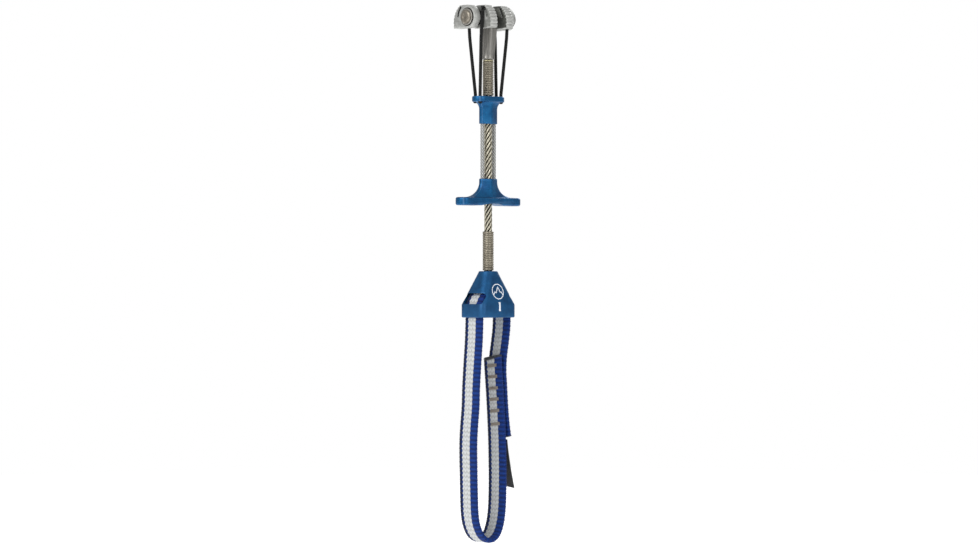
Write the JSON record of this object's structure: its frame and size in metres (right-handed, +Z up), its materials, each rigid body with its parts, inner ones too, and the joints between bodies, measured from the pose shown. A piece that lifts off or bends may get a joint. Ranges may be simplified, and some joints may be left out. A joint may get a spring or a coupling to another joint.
{
  "type": "spring loaded camming device",
  "caption": "Finger-size spring loaded camming device: lobes on one axle, flexible cable stem, T-shaped trigger, tapered thumb block and sewn webbing sling.",
  "frame": {"origin": "centre of the lobe axle, midway between the two inner lobes", "axes": "+Z up along the stem towards the head, +X along the axle to the right-hand lobe, +Y the direction in which the outer lobes spread"},
  "size_m": [0.04, 0.0202, 0.2596],
  "materials": {
    "lobe_alloy": "tumbled bare aluminium, light grey",
    "axle_steel": "turned steel, brownish grey",
    "terminal_steel": "satin stainless fitting",
    "sheath_steel": "close-wound steel wire",
    "spring_steel": "bright spring wire",
    "cable_steel": "stranded pale steel cable",
    "ring_brass": "pale brass ring",
    "blue_anodised": "blue satin anodised aluminium",
    "cord_black": "black braided trigger cord",
    "webbing_blue_white": "woven webbing, white with blue edges",
    "tag_black": "charcoal woven label, blank"
  },
  "bodies": {
    "stem": {"axle_rivet": "axle_steel", "axle_washer_left": "axle_steel", "axle_washer_right": "axle_steel", "torsion_spring_left": "spring_steel", "torsion_spring_right": "spring_steel", "stem_terminal": "terminal_steel", "terminal_ring": "ring_brass", "upper_coil_sheath": "sheath_steel", "lower_coil_sheath": "sheath_steel", "stem_cable": "cable_steel", "cable_end_stop": "terminal_steel", "thumb_block": "blue_anodised", "sling_webbing": "webbing_blue_white", "sling_tag": "tag_black"},
    "trigger": {"trigger_collar": "blue_anodised", "trigger_bar": "blue_anodised", "link_cable_left": "cable_steel", "link_cable_right": "cable_steel", "trigger_cord_outer_left": "cord_black", "trigger_cord_inner_left": "cord_black", "trigger_cord_inner_right": "cord_black", "trigger_cord_outer_right": "cord_black", "cord_crimp_outer_left": "cable_steel", "cord_crimp_inner_left": "cable_steel", "cord_crimp_inner_right": "cable_steel", "cord_crimp_outer_right": "cable_steel"},
    "lobe_outer_left": {"cam_lobe_outer_left": "lobe_alloy", "cord_end_outer_left": "cord_black"},
    "lobe_inner_left": {"cam_lobe_inner_left": "lobe_alloy", "cord_end_inner_left": "cord_black"},
    "lobe_inner_right": {"cam_lobe_inner_right": "lobe_alloy", "cord_end_inner_right": "cord_black"},
    "lobe_outer_right": {"cam_lobe_outer_right": "lobe_alloy", "cord_end_outer_right": "cord_black"}
  },
  "joints": [
    {"name": "trigger_slide", "type": "slide", "parent": "stem", "child": "trigger", "axis": [0, 0, -1], "range_m": [0, 0.00873], "stiffness_N_per_m": 1000, "springref_m": -0.01},
    {"name": "lobe_outer_left_turn", "type": "hinge", "parent": "stem", "child": "lobe_outer_left", "pos_m": [-0.0115, 0, 0], "axis": [1, 0, 0], "range_deg": [-80.5, 0]},
    {"name": "lobe_inner_left_turn", "type": "hinge", "parent": "stem", "child": "lobe_inner_left", "pos_m": [-0.0052, 0, 0], "axis": [1, 0, 0], "range_deg": [0, 80.5]},
    {"name": "lobe_inner_right_turn", "type": "hinge", "parent": "stem", "child": "lobe_inner_right", "pos_m": [0.0052, 0, 0], "axis": [1, 0, 0], "range_deg": [0, 80.5]},
    {"name": "lobe_outer_right_turn", "type": "hinge", "parent": "stem", "child": "lobe_outer_right", "pos_m": [0.0115, 0, 0], "axis": [1, 0, 0], "range_deg": [-80.5, 0]}
  ],
  "couplings": [
    {"joint": "lobe_outer_left_turn", "follows": "trigger_slide", "rad_per_m": -159.9},
    {"joint": "lobe_inner_left_turn", "follows": "trigger_slide", "rad_per_m": 159.9},
    {"joint": "lobe_inner_right_turn", "follows": "trigger_slide", "rad_per_m": 159.9},
    {"joint": "lobe_outer_right_turn", "follows": "trigger_slide", "rad_per_m": -159.9}
  ]
}
